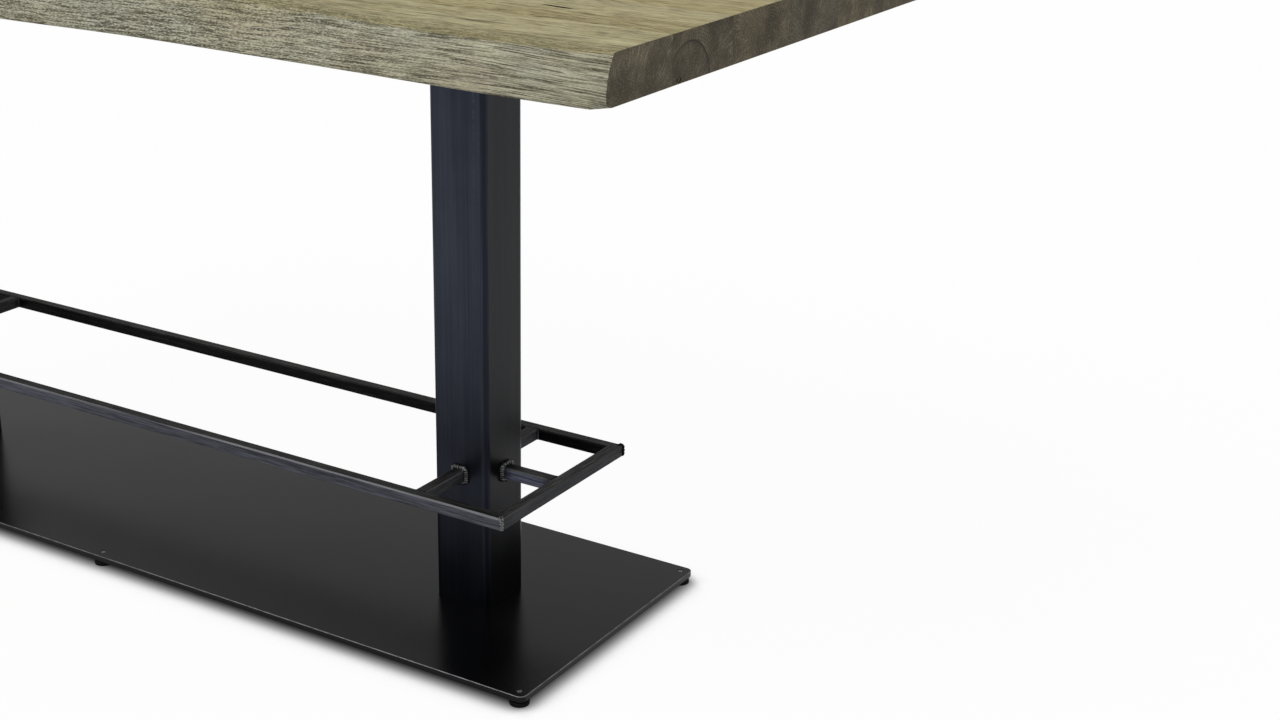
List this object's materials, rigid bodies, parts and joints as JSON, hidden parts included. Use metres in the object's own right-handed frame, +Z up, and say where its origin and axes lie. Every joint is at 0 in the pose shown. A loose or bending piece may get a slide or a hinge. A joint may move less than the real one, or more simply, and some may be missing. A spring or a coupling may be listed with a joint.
{
  "type": "bar table",
  "caption": "Bar table with a thick oak top with natural long edges on square steel columns, a welded square-tube footrest and a flat base plate on screw feet",
  "frame": {"origin": "on the floor, under the middle of the top", "axes": "+X along the top, +Y to the rear long edge, +Z up"},
  "size_m": [2.24, 0.9998, 1.02],
  "materials": {
    "oak": "brushed, matt oiled",
    "blackened_steel": "blackened, clear lacquer",
    "black_coat": "matt black coat",
    "zinc_steel": "zinc plated",
    "pad_black": "moulded nylon"
  },
  "bodies": {
    "root": {"base_plate": "black_coat", "base_screws": "zinc_steel", "board_2": "oak", "board_3": "oak", "board_4": "oak", "board_5": "oak", "board_6": "oak", "column_left": "blackened_steel", "column_right": "blackened_steel", "corner_welds": "blackened_steel", "foot_block_left": "blackened_steel", "foot_block_right": "blackened_steel", "foot_rail_front": "blackened_steel", "foot_rail_left": "blackened_steel", "foot_rail_rear": "blackened_steel", "foot_rail_right": "blackened_steel", "head_bolts": "zinc_steel", "head_plate_left": "black_coat", "head_plate_right": "black_coat", "head_washers": "zinc_steel", "head_welds": "blackened_steel", "live_board_front": "oak", "live_board_rear": "oak", "rail_welds_left": "blackened_steel", "rail_welds_right": "blackened_steel", "stub_end_left": "blackened_steel", "stub_end_right": "blackened_steel", "stub_front_left": "blackened_steel", "stub_front_right": "blackened_steel", "stub_rear_left": "blackened_steel", "stub_rear_right": "blackened_steel", "stub_welds_left": "blackened_steel", "stub_welds_right": "blackened_steel", "top_inserts": "zinc_steel"},
    "pad_front_left": {"foot_pad_front_left": "pad_black"},
    "stud_front_left": {"foot_stud_front_left": "blackened_steel"},
    "pad_front_middle": {"foot_pad_front_middle": "pad_black"},
    "stud_front_middle": {"foot_stud_front_middle": "blackened_steel"},
    "pad_front_right": {"foot_pad_front_right": "pad_black"},
    "stud_front_right": {"foot_stud_front_right": "blackened_steel"},
    "pad_rear_left": {"foot_pad_rear_left": "pad_black"},
    "stud_rear_left": {"foot_stud_rear_left": "blackened_steel"},
    "pad_rear_middle": {"foot_pad_rear_middle": "pad_black"},
    "stud_rear_middle": {"foot_stud_rear_middle": "blackened_steel"},
    "pad_rear_right": {"foot_pad_rear_right": "pad_black"},
    "stud_rear_right": {"foot_stud_rear_right": "blackened_steel"}
  },
  "joints": [
    {"name": "level_front_left", "type": "slide", "parent": "root", "child": "pad_front_left", "axis": [0, 0, -1], "range_m": [0, 0.006]},
    {"name": "screw_front_left", "type": "hinge", "parent": "pad_front_left", "child": "stud_front_left", "pos_m": [-0.834, -0.234, 0.007], "axis": [0, 0, -1], "range_deg": [0, 1728]},
    {"name": "level_front_middle", "type": "slide", "parent": "root", "child": "pad_front_middle", "axis": [0, 0, -1], "range_m": [0, 0.006]},
    {"name": "screw_front_middle", "type": "hinge", "parent": "pad_front_middle", "child": "stud_front_middle", "pos_m": [0, -0.234, 0.007], "axis": [0, 0, -1], "range_deg": [0, 1728]},
    {"name": "level_front_right", "type": "slide", "parent": "root", "child": "pad_front_right", "axis": [0, 0, -1], "range_m": [0, 0.006]},
    {"name": "screw_front_right", "type": "hinge", "parent": "pad_front_right", "child": "stud_front_right", "pos_m": [0.834, -0.234, 0.007], "axis": [0, 0, -1], "range_deg": [0, 1728]},
    {"name": "level_rear_left", "type": "slide", "parent": "root", "child": "pad_rear_left", "axis": [0, 0, -1], "range_m": [0, 0.006]},
    {"name": "screw_rear_left", "type": "hinge", "parent": "pad_rear_left", "child": "stud_rear_left", "pos_m": [-0.834, 0.234, 0.007], "axis": [0, 0, -1], "range_deg": [0, 1728]},
    {"name": "level_rear_middle", "type": "slide", "parent": "root", "child": "pad_rear_middle", "axis": [0, 0, -1], "range_m": [0, 0.006]},
    {"name": "screw_rear_middle", "type": "hinge", "parent": "pad_rear_middle", "child": "stud_rear_middle", "pos_m": [0, 0.234, 0.007], "axis": [0, 0, -1], "range_deg": [0, 1728]},
    {"name": "level_rear_right", "type": "slide", "parent": "root", "child": "pad_rear_right", "axis": [0, 0, -1], "range_m": [0, 0.006]},
    {"name": "screw_rear_right", "type": "hinge", "parent": "pad_rear_right", "child": "stud_rear_right", "pos_m": [0.834, 0.234, 0.007], "axis": [0, 0, -1], "range_deg": [0, 1728]}
  ],
  "couplings": [
    {"joint": "screw_front_left", "follows": "level_front_left", "rad_per_m": 5026.5},
    {"joint": "screw_front_middle", "follows": "level_front_middle", "rad_per_m": 5026.5},
    {"joint": "screw_front_right", "follows": "level_front_right", "rad_per_m": 5026.5},
    {"joint": "screw_rear_left", "follows": "level_rear_left", "rad_per_m": 5026.5},
    {"joint": "screw_rear_middle", "follows": "level_rear_middle", "rad_per_m": 5026.5},
    {"joint": "screw_rear_right", "follows": "level_rear_right", "rad_per_m": 5026.5}
  ]
}
